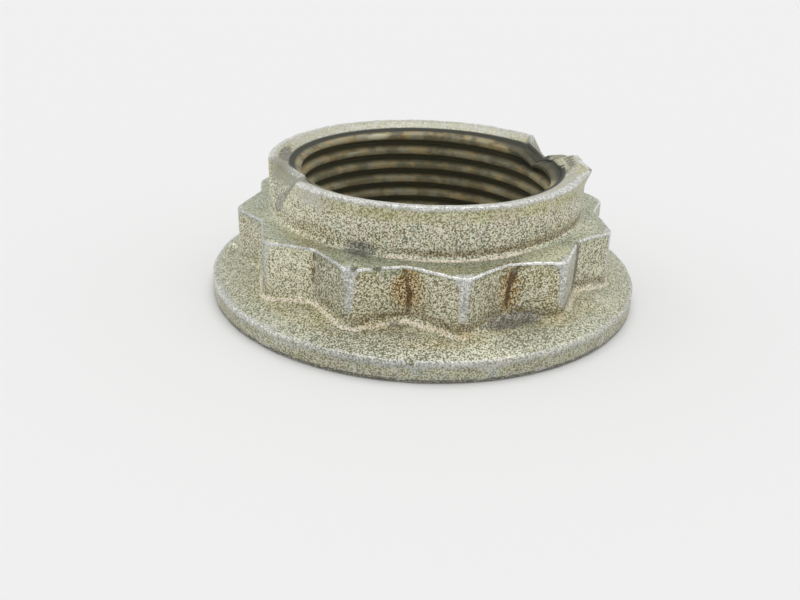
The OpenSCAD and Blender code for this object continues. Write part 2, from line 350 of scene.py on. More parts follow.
def nutTree():
    # the rule of the nut's form: double hexagon, sloping flange, thread
    tree = bpy.data.node_groups.new("twelvePointNut", "GeometryNodeTree")
    tree.interface.new_socket("Geometry", in_out="INPUT", socket_type="NodeSocketGeometry")
    sizes = {
        "Point Count": nut["pointCount"],
        "Half Flats": nut["halfFlats"],
        "Point Radius": nut["pointRadius"],
        "Drive Turn": math.radians(nut["driveTurn"]),
        "Point Round": nut["pointRound"],
        "Valley Round": math.radians(nut["valleyRound"]),
        "Flange Radius": nut["flangeRadius"],
        "Flange Edge": nut["flangeEdge"],
        "Flange Rise": math.tan(math.radians(nut["flangeSlope"])),
        "Shoulder Radius": nut["collarRadius"] + nut["collarFillet"],
        "Shoulder Height": nut["shoulderHeight"],
        "Shoulder Fall": math.tan(math.radians(nut["shoulderSlope"])),
        "Bevel Radius": nut["bevelRadius"],
        "Bevel Fall": math.tan(math.radians(nut["bevelSlope"])),
        "Nut Height": nut["height"],
        "Land Radius": nut["landRadius"],
        "Lead In Rise": math.tan(math.radians(nut["leadInSlope"])),
        "Bore Radius": nut["boreRadius"],
        "Countersink": nut["countersink"],
        "Pitch": nut["pitch"],
        "Thread Depth": nut["threadRoot"] - nut["boreRadius"],
        "Crest Height": nut["crestHeight"],
    }
    ids = {}
    for name, value in sizes.items():
        socket = tree.interface.new_socket(name, in_out="INPUT", socket_type="NodeSocketFloat")
        ids[socket.identifier] = float(value)
    socket = tree.interface.new_socket("Finish", in_out="INPUT", socket_type="NodeSocketMaterial")
    ids[socket.identifier] = None
    finishId = socket.identifier
    tree.interface.new_socket("Geometry", in_out="OUTPUT", socket_type="NodeSocketGeometry")
    given = Signal(tree).node("NodeGroupInput")
    size = {name: given.pick(name) for name in sizes}

    def read(name):
        return given.node("GeometryNodeInputNamedAttribute", {"data_type": "FLOAT"}, {"Name": name})

    turn, outside, hold, onDrive = read("turn"), read("outside"), read("hold"), read("onDrive")
    halfStep = math.pi / size["Point Count"]
    away = given.maths("WRAP", turn - size["Drive Turn"], halfStep, 0 - halfStep)
    fromValley = halfStep - abs(away)
    eased = given.maths("SQRT", fromValley * fromValley + size["Valley Round"] * size["Valley Round"])
    wall = (size["Half Flats"] + outside) / given.maths("COSINE", eased + halfStep)
    blunt = (size["Point Radius"] + outside) / given.maths("COSINE", away)
    outline = given.maths("SMOOTH_MIN", wall, blunt, size["Point Round"])
    radius = read("ringRadius") * hold + outline * (1 - hold)
    foot = size["Flange Edge"] + (size["Flange Radius"] - radius) * size["Flange Rise"] + read("rise")
    shoulder = size["Shoulder Height"] - (radius - size["Shoulder Radius"]) * size["Shoulder Fall"]
    bevelRun = size["Bevel Radius"] - size["Shoulder Radius"]
    bevelTop = size["Shoulder Height"] - bevelRun * size["Shoulder Fall"]
    bevel = bevelTop - (radius - size["Bevel Radius"]) * size["Bevel Fall"]
    top = given.maths("SMOOTH_MIN", shoulder, bevel, nut["bevelRound"]) - read("drop")
    level = read("level")
    height = read("ringHeight")
    driveHeight = foot * (1 - level) + top * level
    lap = (height - size["Crest Height"]) / size["Pitch"] - turn / (2 * math.pi)
    along = abs(given.maths("WRAP", lap, 0.5, -0.5)) * size["Pitch"]
    fromFlat = along - size["Pitch"] * (nut["crestFlat"] / 2)
    flank = fromFlat * math.tan(math.radians(nut["flankSlope"]))
    flank = given.maths("SMOOTH_MAX", flank, 0.0, nut["crestRound"])
    groove = given.maths("SMOOTH_MIN", flank, size["Thread Depth"], nut["rootRound"])
    leadIn = size["Land Radius"] + (height - size["Nut Height"]) / size["Lead In Rise"]
    sink = size["Bore Radius"] + size["Countersink"] - height
    bore = given.maths("SMOOTH_MAX", size["Bore Radius"] + groove, leadIn, nut["leadInRound"])
    bore = given.maths("MAXIMUM", bore, sink)
    isThread = read("isThread")
    radius = radius * (1 - isThread) + bore * isThread
    height = height * (1 - onDrive) + driveHeight * onDrive
    x = radius * given.maths("SINE", turn) * mm
    y = radius * given.maths("COSINE", turn) * -mm
    place = given.node("ShaderNodeCombineXYZ", sockets={0: x, 1: y, 2: height * mm})
    sockets = {"Geometry": given.pick("Geometry"), "Position": place}
    shaped = given.node("GeometryNodeSetPosition", sockets=sockets)
    sockets = {"Geometry": shaped, "Distance": nut["mergeDistance"]}
    merged = given.node("GeometryNodeMergeByDistance", sockets=sockets)
    real = given.node("GeometryNodeRealizeInstances", sockets={"Geometry": merged})
    sockets = {"Geometry": real, "Material": given.pick("Finish")}
    done = given.node("GeometryNodeSetMaterial", sockets=sockets)
    out = tree.nodes.new("NodeGroupOutput")
    tree.links.new(done.socket, out.inputs["Geometry"])
    return tree, ids, finishId


def formedNut(finish):
    tree, ids, finishId = nutTree()
    ids[finishId] = finish
    blank = bpy.data.objects.new("nutBlank", blankMesh())
    bpy.context.scene.collection.objects.link(blank)
    blank.data.materials.append(finish)
    maker = blank.modifiers.new("form", "NODES")
    maker.node_group = tree
    for identifier, value in ids.items():
        maker[identifier] = value
    bpy.context.view_layer.update()
    graph = bpy.context.evaluated_depsgraph_get()
    mesh = bpy.data.meshes.new_from_object(blank.evaluated_get(graph))
    mesh.validate(clean_customdata=False)  # where merged points folded a face
    mesh.name = "stakedNut"
    bpy.data.objects.remove(blank)
    piece = bpy.data.objects.new("stakedNut", mesh)
    bpy.context.scene.collection.objects.link(piece)
    return piece


def smooth(share):
    return share * share * (3 - 2 * share)


def ramp(value, low, high):  # 0 at low, 1 at high, smooth in between
    return smooth(np.clip((value - low) / (high - low), 0, 1))


def hump(value, begin, full, fall, end):  # 1 from full to fall, 0 before begin and after end
    return ramp(value, begin, full) * (1 - ramp(value, fall, end))


def polar(spots):  # radius and height in millimetres, turn in degrees
    radius = np.hypot(spots[:, 0], spots[:, 1]) / mm
    return radius, np.degrees(np.arctan2(spots[:, 0], -spots[:, 1])), spots[:, 2] / mm


def lineRadius(ra, aa, rb, ab, a):  # radius at direction a of the straight line between two points
    aa, ab, a = np.radians(aa), np.radians(ab), np.radians(a)
    return ra * rb * np.sin(aa - ab) / (rb * np.sin(a - ab) - ra * np.sin(a - aa))


def driveStake(radius, turn, height, stake):
    # pushes a length of the collar inwards; its creases follow the mesh's own columns
    corner, steep, shallow = stake["turn"], stake["steep"], stake["shallow"]
    foot, margin, top = stakeShape["foot"], stakeShape["margin"], nut["height"]
    share = np.clip((height - foot) / (top - foot), 0, 1)
    inReach = (turn > corner - shallow - margin) & (turn < corner + steep + margin) & (height > foot)
    inReach &= radius < nut["collarRadius"] + 0.1
    narrow = stakeShape["footShare"] + (1 - stakeShape["footShare"]) * share
    leaned = corner - stakeShape["lean"] * (1 - share)
    knots = [corner - shallow - margin, corner - shallow, corner, corner + steep, corner + steep + margin]
    still = 0 * share
    moved = [knots[0] + still, leaned - shallow * narrow, leaned, leaned + steep * narrow, knots[4] + still]
    newTurn = turn.copy()
    for k in range(4):
        part = inReach & (turn >= knots[k]) & (turn <= knots[k + 1])
        along = (turn - knots[k]) / (knots[k + 1] - knots[k])
        newTurn[part] = (moved[k] + (moved[k + 1] - moved[k]) * along)[part]
    outer = nut["collarRadius"]
    cornerRadius = outer - stake["depth"] * share
    shallowSide = lineRadius(outer, moved[1], cornerRadius, moved[2], newTurn)
    steepSide = lineRadius(cornerRadius, moved[2], outer, moved[3], newTurn)
    wall = np.full_like(radius, outer)
    wall = np.where((newTurn > moved[1]) & (newTurn <= moved[2]), shallowSide, wall)
    wall = np.where((newTurn > moved[2]) & (newTurn < moved[3]), steepSide, wall)
    push = outer - wall
    # the rim sinks with the push
    places, falls = zip(*stake["sink"])
    fromCorner = np.clip((corner - turn) / shallow, 0, 1)
    fall = np.interp(fromCorner, places, falls)
    fall = np.where(turn > corner, falls[0] * np.clip(1 - (turn - corner) / steep, 0, 1), fall)
    fall = np.where(turn < corner - shallow, 0, fall)
    bore, land, rim = nut["boreRadius"], nut["landRadius"], outer - nut["rimWear"]
    newLand = np.minimum(land, rim - push - stakeShape["land"])
    boreShare = (radius - bore) / (land - bore)
    landShare = (radius - land) / (rim - land)
    newRadius = np.where(radius >= rim, radius - push, bore + boreShare * (newLand - bore))
    onLand = (radius >= land) & (radius <= rim) & (height > top - 0.001)
    newRadius = np.where(onLand, newLand + landShare * (rim - push - newLand), newRadius)
    inBore = (radius < land) & (height < top - stakeShape["boreDepth"])
    newRadius = np.where(inBore, radius, newRadius)
    base = stakeShape["sinkFoot"]
    sunk = np.where(height > base, base + (height - base) * (top - fall - base) / (top - base), height)
    radius = np.where(inReach, newRadius, radius)
    height = np.where(inReach, sunk, height)
    turn = np.where(inReach, newTurn, turn)
    return radius, turn, height, np.where(inReach, push, 0)


# each wall of the drive has its own tone, partly the plating's own and partly painted light and shade by
# how the wall faces the light: from turn, to turn, layer, share
wallTones = [
    (-63.8, -48.8, "dimToneAndShade", 0.5),
    (-48.8, -33.8, "clear", 0.95),
    (-33.8, -18.8, "dimToneAndShade", 0.58),
    (-18.8, -3.8, "ochre", 0.8),
    (-3.8, 11.2, "ochre", 0.7),
    (11.2, 26.2, "dimToneAndShade", 0.42),
    (11.2, 26.2, "ochre", 0.7),
    (26.2, 41.2, "ochre", 1.0),
    (41.2, 53.5, "rubbed", 0.6),
    (56.2, 71.2, "clear", 0.35),
]


def trail(start, end, count, size, strength):  # a row of stains from one place to another
    places = [tuple(a + (b - a) * i / (count - 1) for a, b in zip(start, end)) for i in range(count)]
    return [(place, size, strength) for place in places]


def blotch(spots, place, size):
    # 1 at the place, 0 at the size away; the place is radius, turn, height, the size is along, out, up
    centre = np.array(spot(*place))
    angle = math.radians(place[1])
    along = np.array((math.cos(angle), math.sin(angle), 0))
    out = np.array((math.sin(angle), -math.cos(angle), 0))
    away = spots - centre
    parts = (away @ along, away @ out, away[:, 2])
    far = np.sqrt(sum((part / (length * mm)) ** 2 for part, length in zip(parts, size)))
    return np.clip(1 - far, 0, 1)


# stains, with some painted light and shade among them: radius, turn, height, then how far they reach along,
# out and up, and strength
marks = {
    "rust": [
        ((15.4, -3.8, 5.8), (2.4, 1.6, 2.9), 1.3),
        ((15.4, -3.8, 7.2), (0.7, 0.9, 1.4), 0.8),
        ((15.4, 26, 5.6), (1.7, 1.4, 3.2), 1.3),
        ((16.1, 29, 7.4), (1.6, 0.8, 0.9), 0.7),
        ((15.6, -34, 6.2), (0.7, 0.9, 2.2), 0.8),
        ((17.4, 41, 3.0), (1.6, 1.2, 0.9), 0.8),
        ((17.2, 12, 2.9), (1.5, 0.9, 0.8), 0.7),
    ],
    "stain": [
        ((14.6, 12, 8.6), (6.5, 0.8, 1.1), 0.9),
        ((14.7, -40, 8.6), (6.5, 1.8, 1.5), 1.1),
        ((14.6, 50, 8.8), (5.0, 1.2, 1.3), 0.9),
        ((14.1, -14, 11.3), (4.5, 0.8, 0.9), 0.5),
        ((16.6, -14, 3.4), (3.6, 1.0, 1.6), 0.9),
        ((16.4, 6, 3.4), (3.0, 1.2, 1.3), 0.8),
        ((16.6, 37, 3.5), (3.2, 1.0, 1.4), 0.8),
        ((15.8, -26, 3.6), (3.0, 1.2, 1.4), 0.6),
        ((16.0, 56, 3.6), (3.0, 1.4, 1.2), 0.9),
        ((17.2, -60, 3.4), (3.4, 1.4, 1.2), 0.6),
        ((17.8, 4, 2.5), (6.0, 1.6, 1.0), 0.7),
        ((17.8, -24, 2.5), (4.0, 1.4, 1.0), 0.5),
    ],
    "sootAndShade": [
        ((16.3, 27, 3.2), (4.2, 1.3, 0.9), 1.5),
        ((16.1, -6, 3.1), (1.5, 0.8, 0.8), 0.7),
        ((14.4, -20, 8.3), (2.2, 0.9, 0.8), 1.7),
        ((17.0, -63, 4.2), (0.7, 0.9, 1.6), 0.8),
        ((13.1, -72, 11.7), (3.2, 0.9, 0.8), 0.8),
        ((12.8, -90, 11.8), (3.4, 0.7, 0.7), 1.7),
        ((12.7, -83, 11.7), (1.2, 0.5, 0.5), 1.6),
        ((13.7, -49, 11.0), (0.5, 0.8, 1.5), 0.8),
        ((14.5, 81, 11.5), (0.8, 0.6, 1.0), 1.6),
        *trail((13.6, 107, 11.5), (12.9, 89, 12.0), 7, (0.45, 0.5, 0.6), 2.0),
        *trail((12.9, 89, 12.0), (12.4, 80.5, 11.8), 5, (0.5, 0.4, 0.5), 1.6),
        *trail((15.6, 54.4, 7.4), (15.6, 54.8, 4.0), 7, (0.55, 0.9, 0.8), 1.7),
        # painted shade in the crease of the left stake
        *trail((13.2, -51.5, 11.6), (14.0, -62.5, 9.2), 8, (0.9, 1.6, 0.9), 2.2),
        ((11.8, 98, 10.7), (5.5, 2.0, 1.3), 2.0),
        ((11.6, 120, 10.9), (5.5, 1.6, 1.8), 1.9),
        ((16.2, -12, 7.75), (0.5, 0.5, 0.45), 2.2),
        ((16.7, -17.8, 7.65), (0.4, 0.5, 0.4), 2.0),
        ((19.4, -1.5, 1.7), (0.4, 0.4, 0.4), 1.3),
    ],
    "streak": [
        *trail((15.5, -4.6, 7.2), (15.5, -3.2, 5.8), 4, (0.35, 0.9, 0.6), 1.1),
        *trail((15.5, -3.2, 5.8), (15.5, -3.4, 4.2), 4, (0.45, 0.9, 0.7), 1.3),
        *trail((15.8, 28.0, 7.5), (15.5, 26.4, 6.2), 4, (0.6, 0.9, 0.7), 1.4),
        *trail((15.5, 26.2, 6.2), (15.5, 25.8, 4.4), 4, (0.45, 0.9, 0.9), 1.3),
        *trail((15.5, -33.4, 7.2), (15.5, -34.0, 5.2), 4, (0.35, 0.9, 0.7), 1.15),
        ((15.5, 55.6, 5.8), (0.7, 0.9, 3.2), 1.5),
    ],
    "worn": [
        ((14.0, -41, 11.2), (4.5, 1.2, 1.6), 0.75),
        ((14.0, 66, 11.0), (4.0, 1.2, 1.8), 0.6),
    ],
    # lighter places: clean and worn metal, with painted sheen on the collar's left and a painted highlight
    # on the pip
    "clear": [
        # the collar's left, lighter as clean metal and as painted sheen
        ((14.1, -54, 9.8), (7.5, 2.4, 3.0), 1.7),
        ((14.1, -28, 10.2), (3.5, 1.5, 1.5), 0.5),
        ((14.8, 66, 8.0), (5.0, 1.8, 1.4), 0.9),
        ((15.4, 41, 7.8), (4.0, 1.6, 1.0), 1.5),
        ((18.3, 62, 2.2), (5.0, 1.6, 1.0), 0.7),
        ((14.1, 30, 9.4), (4.0, 1.5, 1.4), 0.5),
        # painted highlight on the pip's top
        ((18.3, -91, 2.6), (0.6, 0.6, 0.6), 1.6),
        ((11.2, -153, 11.05), (2.0, 0.7, 0.4), 1.6),
        ((11.2, -138, 9.6), (2.4, 0.9, 0.3), 1.2),
        *trail((12.0, 107, 11.5), (12.0, 96, 11.6), 4, (0.8, 0.8, 0.4), 1.6),
        *trail((12.1, 94, 11.6), (12.1, 86, 11.8), 3, (0.6, 0.6, 0.35), 1.3),
    ],
    # darker places, dim tone and painted shade
    "dimToneAndShade": [
        # painted shadow on the flange below the pip
        ((17.9, -86, 2.3), (0.9, 0.9, 0.6), 1.4),
        # the flange's front, darkened as stain and as a painted dark reflection
        ((18.2, -10, 2.2), (7.5, 2.6, 1.8), 2.4),
        ((18.2, -30, 2.3), (4.0, 1.2, 1.0), 0.6),
        ((18.0, 28, 2.4), (5.0, 2.0, 1.2), 1.3),
    ],
    "blush": [
        ((14.1, 27, 11.0), (2.4, 1.0, 1.2), 0.9),
        ((14.1, -36, 11.4), (3.5, 1.0, 0.9), 0.5),
        ((14.1, 42, 10.4), (2.0, 1.0, 1.0), 0.5),
    ],
}


far = 99
# stretches of the nut: lowest and highest height, innermost and outermost radius
zones = {
    "contactShadow": (0.001, 0.31, 19.1, far),
    "flangeEdge": (0.2, 1.5, 19.3, far),
    "flangeLip": (1.5, 2.0, 19.25, far),
    "flangeTop": (1.7, 3.2, 0, 19.3),
    "pip": (1.7, 2.9, 0, far),
    "nearFoot": (1.7, 3.6, 15, far),
    "footCove": (2, 4.5, 0, far),
    "drive": (2.6, 7.7, 15.2, 17.2),
    "points": (3.0, 7.65, 16.2, 17.1),
    "shoulder": (7.2, 8.3, 14.2, far),
    "collarFoot": (7.6, 9, 0, far),
    "collarCove": (8.1, 9.4, 0, far),
    "collar": (8, far, 12.3, 15.1),
    "rim": (10.9, far, 12.2, 13.7),
    "rimTop": (11.7, far, 0, far),
}
# layers that fill a zone; the flange is dimmed, on its upturned top as painted shade, and the lower round
# gets a painted contact shadow
zoneTones = [
    ("flangeEdge", "green", 0.4),
    ("flangeTop", "green", 0.6),
    ("shoulder", "green", 1.0),
    ("flangeEdge", "dimToneAndShade", 0.38),
    ("flangeTop", "dimToneAndShade", 0.31),
    ("flangeEdge", "calm", 0.6),
    ("flangeEdge", "tinted", 1.0),
    # painted contact shadow along the flange's lower round
    ("contactShadow", "sootAndShade", 2.0),
]
# what changes round the nut: between two turns, from one strength to another
fades = {
    "flangeTop": (-45, -15, 1.0, 0.3),
    "flangeLip": (-50, -20, 1.0, 0.78),
    "leftEdges": (-26, -16, 0.75, 1.0),
    # the next five set how strong the fillets' painted shade and painted highlight are round the nut
    "footDark": (-24, -10, 0.4, 1.0),
    "collarDark": (-20, 6, 0.25, 1.0),
    "collarLightLeft": (-20, -8, 0.0, 1.0),
    "collarLightRight": (30, 45, 1.0, 0.3),
    "collarLightBehind": (90, 110, 0.0, 0.6),  # both ways round
    "ochre": (40, 70, 1.0, 0.4),  # both ways round
}
# turns where the foot fillet's painted highlight is weakened, as there the fillet lies in shade
footShade = {"share": 0.85, "turns": [(12, 18, 43, 50), (-110, -95, -63, -59)]}
# unevenness of a forged and handled surface, in millimetres, with its waves in a millimetre
uneven = {
    "seed": 5,
    "coarseWaves": 0.45,
    "coarse": 0.035,
    "fineWaves": 1.7,
    "fine": 0.012,
    "onEdges": 0.035,
    "flatBelow": 0.05,
    "boreMargin": 0.3,
    "boxMargin": 0.002,
}


def inZone(name, radius, height):
    low, high, inner, outer = zones[name]
    return (height > low) & (height < high) & (radius > inner) & (radius < outer)


def fade(name, turn):
    start, end, before, after = fades[name]
    return before + (after - before) * ramp(turn, start, end)


def pressedForm(mesh):
    # the collar's stakes and the lobe beside the tear; also tells how far each point was pushed
    count = len(mesh.vertices)
    flat = np.empty(count * 3)
    mesh.vertices.foreach_get("co", flat)
    radius, turn, height = polar(flat.reshape(count, 3))
    push = np.zeros(count)
    for stake in stakes.values():
        radius, turn, height, moved = driveStake(radius, turn, height, stake)
        push = np.maximum(push, moved)
    near = np.clip(1 - np.abs(turn - burr["turn"]) / burr["halfWidth"], 0, 1)
    high = np.clip((height - nut["height"] + burr["drop"]) / burr["drop"], 0, 1)
    lifted = burr["out"] * smooth(near) * high
    radius = np.where(radius > nut["landRadius"] - burr["wall"], radius + lifted, radius)
    return radius, turn, height, push


def finishForm(piece):
    # stakes, tear, pip, low shoulder and nicks, then the small unevenness
    mesh = piece.data
    radius, turn, height, push = pressedForm(mesh)
    angle = np.radians(turn)
    spots = np.stack([radius * np.sin(angle), -radius * np.cos(angle), height], 1) * mm
    away = np.linalg.norm((spots - np.array(spot(pip["radius"], pip["turn"], 0)))[:, :2], axis=1) / mm
    bump = np.sqrt(np.clip(pip["size"] ** 2 - away**2, 0, None)) - pip["size"] / 2
    spots[:, 2] += np.where(inZone("pip", radius, height), np.clip(bump, 0, None), 0) * mm
    low = hump(turn, *lowShoulder["turns"]) * hump(height, *lowShoulder["heights"])
    spots[:, 2] -= lowShoulder["depth"] * low * (radius > nut["landRadius"]) * mm
    for place, size, depth in nicks:
        share = np.clip(1 - np.linalg.norm(spots - np.array(spot(*place)), axis=1) / (size * mm), 0, 1)
        inward = -(np.array(spot(1, place[1], 0)) / mm + np.array((0, 0, 1))) / math.sqrt(2)
        spots += (smooth(share) * depth * mm)[:, None] * inward
    edge = np.zeros(len(spots))
    mesh.attributes["edge"].data.foreach_get("value", edge)
    shift = np.empty((len(spots), 3))
    noise.seed_set(uneven["seed"])  # without it the noise differs from run to run
    for i, place in enumerate(spots):
        at = Vector(place) / mm
        coarse = noise.noise_vector(at * uneven["coarseWaves"] + Vector((7, 3, 1)))
        fine = noise.noise_vector(at * uneven["fineWaves"] + Vector((2, 9, 4)))
        shift[i] = coarse * uneven["coarse"] + fine * (uneven["fine"] + uneven["onEdges"] * edge[i])
    radius, turn, height = polar(spots)
    still = (height < uneven["flatBelow"]) | (radius < nut["landRadius"] - uneven["boreMargin"])
    spots += shift * np.where(still, 0.0, 1.0)[:, None] * mm
    radius, turn, height = polar(spots)
    limit = nut["flangeRadius"] - uneven["boxMargin"]
    spots[:, :2] *= np.minimum(1, limit / np.maximum(radius, 0.001))[:, None]
    spots[:, 2] = np.clip(spots[:, 2], 0, nut["height"] * mm)
    mesh.vertices.foreach_set("co", spots.ravel())
    mesh.polygons.foreach_set("use_smooth", np.ones(len(mesh.polygons), bool))
    mesh.update()
    return spots, edge, push


# rubbed bands on the drive's points and the rim: degrees either side, and how they widen upwards
rubbedBand = {
    "foot": 3.0,
    "rise": 4.5,
    "clear": (3.3, 4.2),
    "plainHalf": (0.75, 0.35, 1.0),
    "fadedHalf": (1.45, 0.4, 1.5),
    "strength": (0.75, 0.2),
    "rim": 0.6,
    "rimMost": 0.98,
}


def rubbedLayer(radius, turn, height, edge):
    step = 360 / nut["pointCount"]
    away = np.abs((turn - nut["driveTurn"] + step / 2) % step - step / 2)
    rise = np.clip((height - rubbedBand["foot"]) / rubbedBand["rise"], 0, 1)
    plain, faded = (half + grow * rise + flare * rise**6 for half, grow, flare in
                    (rubbedBand["plainHalf"], rubbedBand["fadedHalf"]))
    strength = rubbedBand["strength"][0] + rubbedBand["strength"][1] * rise
    band = (1 - ramp(away, plain, faded)) * strength * ramp(height, *rubbedBand["clear"])
    rubbed = np.maximum(edge, np.where(inZone("points", radius, height), band, 0))
    rubbed = np.where(inZone("rim", radius, height), np.maximum(rubbed, rubbedBand["rim"]), rubbed)
    most = np.minimum(rubbed, rubbedBand["rimMost"])
    rubbed = np.where(inZone("rimTop", radius, height), most, rubbed)
    worn = np.where(height < zones["collarFoot"][1], fade("leftEdges", turn), 1)
    worn = np.where(inZone("flangeTop", radius, height), fade("flangeTop", turn), worn)
    worn = np.where(inZone("flangeLip", radius, height), fade("flangeLip", turn), worn)
    return np.where(inZone("contactShadow", radius, height), 0, rubbed * worn)


def paintForm(piece, spots, edge, push):
    # layers that the finish reads: what is rubbed or stained, and the painted light and shade of fillets,
    # walls and the flange
    mesh = piece.data
    radius, turn, height = polar(spots)
    cove = np.zeros(len(spots))
    mesh.attributes["cove"].data.foreach_get("value", cove)
    inFoot = inZone("footCove", radius, height)
    beside = 0.9 * (1 - ramp(radius, 17.2, 18.6))
    ochre = np.where(inZone("drive", radius, height), 0.55, 0)
    ochre = ochre + np.where(inZone("nearFoot", radius, height), beside, 0)
    ochre = np.maximum(ochre, np.where(inFoot, np.clip(-cove, 0, 1), 0))
    # the fillets' painted highlight and painted shade, made stronger or weaker round the nut as the light
    # falls
    collarLight = fade("collarLightLeft", turn) * fade("collarLightRight", turn)
    collarLight = np.maximum(collarLight, fade("collarLightBehind", np.abs(turn)))
    cove = np.where(inFoot & (cove < 0), cove * fade("footDark", turn), cove)
    for turns in footShade["turns"]:
        shaded = cove * (1 - footShade["share"] * hump(turn, *turns))
        cove = np.where(inFoot & (cove > 0), shaded, cove)
    litCollar = inZone("collarFoot", radius, height) & (cove > 0)
    cove = np.where(litCollar, cove * collarLight, cove)
    darkCollar = inZone("collarCove", radius, height) & (cove < 0)
    cove = np.where(darkCollar, cove * fade("collarDark", turn), cove)
    mesh.attributes["cove"].data.foreach_set("value", cove.astype(np.float32))
    layers = {
        "rubbed": rubbedLayer(radius, turn, height, edge),
        "pressed": ramp(push, 0.03, 0.25),
        "calm": ramp(height, 10.5, 11.0) * inZone("collar", radius, height),
        "ochre": np.minimum(ochre, 1) * fade("ochre", np.abs(turn)),
    }

    def lay(name, layer):
        layers[name] = np.maximum(layers.get(name, 0), layer)

    for name, places in marks.items():
        lay(name, np.zeros(len(spots)))
        for place, size, strength in places:
            lay(name, blotch(spots, place, size) * strength)
    onDrive = inZone("drive", radius, height)
    for start, end, name, share in wallTones:
        inside = onDrive & (turn > start) & (turn < end)
        lay(name, np.where(inside, share * ramp(height, 3.0, 3.6), 0))
    for zone, name, share in zoneTones:
        lay(name, np.where(inZone(zone, radius, height), share, 0))
    lay("rubbed", layers.pop("worn"))
    layers["rubbed"] *= 1 - np.clip(layers["sootAndShade"], 0, 1)
    for name, layer in layers.items():
        made = mesh.attributes.new(name, "FLOAT", "POINT")
        made.data.foreach_set("value", layer.astype(np.float32))
    for name in list(ring()) + ["turn"]:
        if name != "cove":
            mesh.attributes.remove(mesh.attributes[name])


zinc = {
    "pale": linear(206, 204, 174),
    "olive": linear(184, 180, 142),
    "green": linear(160, 170, 150),
    "yellow": linear(180, 176, 122),
    "pink": linear(206, 188, 170),
    "ochre": linear(174, 162, 104),
    "mauve": linear(168, 154, 150),
    # the clear and dim colours also serve as painted light and painted shade
    "clear": linear(232, 229, 196),
    "dimToneAndShade": linear(134, 135, 114),
    # painted highlight of the fillets
    "paintedHighlight": linear(232, 218, 198),
    "shade": linear(92, 90, 66),
    "shadeBrown": linear(86, 56, 14),
    # dirt with painted shade in the creases of the fillets
    "creaseDirtAndShade": linear(96, 80, 48),
    "spark": linear(244, 243, 228),
    "grey": linear(193, 195, 196),
    "bright": linear(244, 243, 240),
    "brown": linear(172, 152, 94),
    "rust": linear(196, 164, 86),
    "streak": linear(62, 42, 18),
    # dark soot, also the colour of painted shade
    "sootAndShade": linear(84, 82, 76),
    "pressed": linear(134, 134, 120),
    # the bore: oil with painted shade in the grooves, worn metal with painted highlight on the crests
    "grooveOilAndShade": linear(84, 82, 60),
    "crestWornAndLit": linear(170, 152, 108),
    "oilGrey": linear(152, 148, 122),
    "deepOilAndShade": linear(40, 42, 27),
    "oilWorn": linear(206, 204, 176),
}
# noises in the plating: grains in a millimetre, detail, roughness, distortion
grains = {
    "fine": (7.6, 1.5, 0.5, 0.3),
    "clump": (2.6, 2.0, 0.6, 0.0),
    "cloud": (0.22, 3.0, 0.55, 0.0),
    "patch": (0.5, 3.0, 0.6, 0.0),
    "tint": (0.8, 2.0, 0.6, 0.5),
    "hue": (3.0, 1.0, 0.5, 0.0),
    "broken": (1.6, 4.0, 0.65, 0.0),
}
# washes of colour over the olive ground: noise, from, to, strength, colour
washes = [
    ("cloud", 0.38, 0.62, 1.0, "pale"),
    ("patch", 0.5, 0.64, 0.6, "green"),
    ("tint", 0.52, 0.66, 0.55, "yellow"),
    ("tint", 0.48, 0.36, 0.45, "pink"),
    ("hue", 0.52, 0.62, 0.5, "green"),
    ("hue", 0.48, 0.38, 0.5, "pink"),
]
# edges of the marks, broken by the broken, clump and fine noise, then from and to
brokenEdges = {
    "aged": (0.9, 0.5, 0, 0.2, 0.85),
    "rust": (1.2, 0.6, 0, 0.3, 0.85),
    "streak": (1.5, 0.8, 0, 0.3, 1.0),
    "sootAndShade": (0.9, 0.6, 0, 0.25, 0.75),
    "grey": (1.0, 0, 0.6, 0.15, 0.85),
    "bright": (0.9, 0.8, 1.8, 0.85, 1.25),
}
# a plain value, then what each layer adds to it
balances = {
    "depth": (0.82, {"rust": 0.12, "coveDirtAndShade": -0.2, "coveHighlight": -0.15, "pressed": -0.22,
                     "grey": -0.45, "sootAndShade": -0.2, "calm": -0.25, "green": -0.1}),
    "roughness": (0.46, {"dark": 0.15, "bright": -0.12, "rust": 0.3, "pressed": -0.05, "bore": 0.14}),
    "metallic": (0.7, {"dark": -0.3, "rust": -0.5, "sootAndShade": -0.3, "bore": -0.55}),
}
# the oily bore with its painted shade: between which radii and heights it begins, and where crests and
# groove show
oilAndShadeBands = {
    "radius": (12.5, 12.25),
    "top": (11.95, 11.65),
    "crest": (11.8, 11.4),
    "mouth": (10.9, 11.2),
    "mouthShift": 0.14,
    "topGroove": (10.6, 11.3),
}


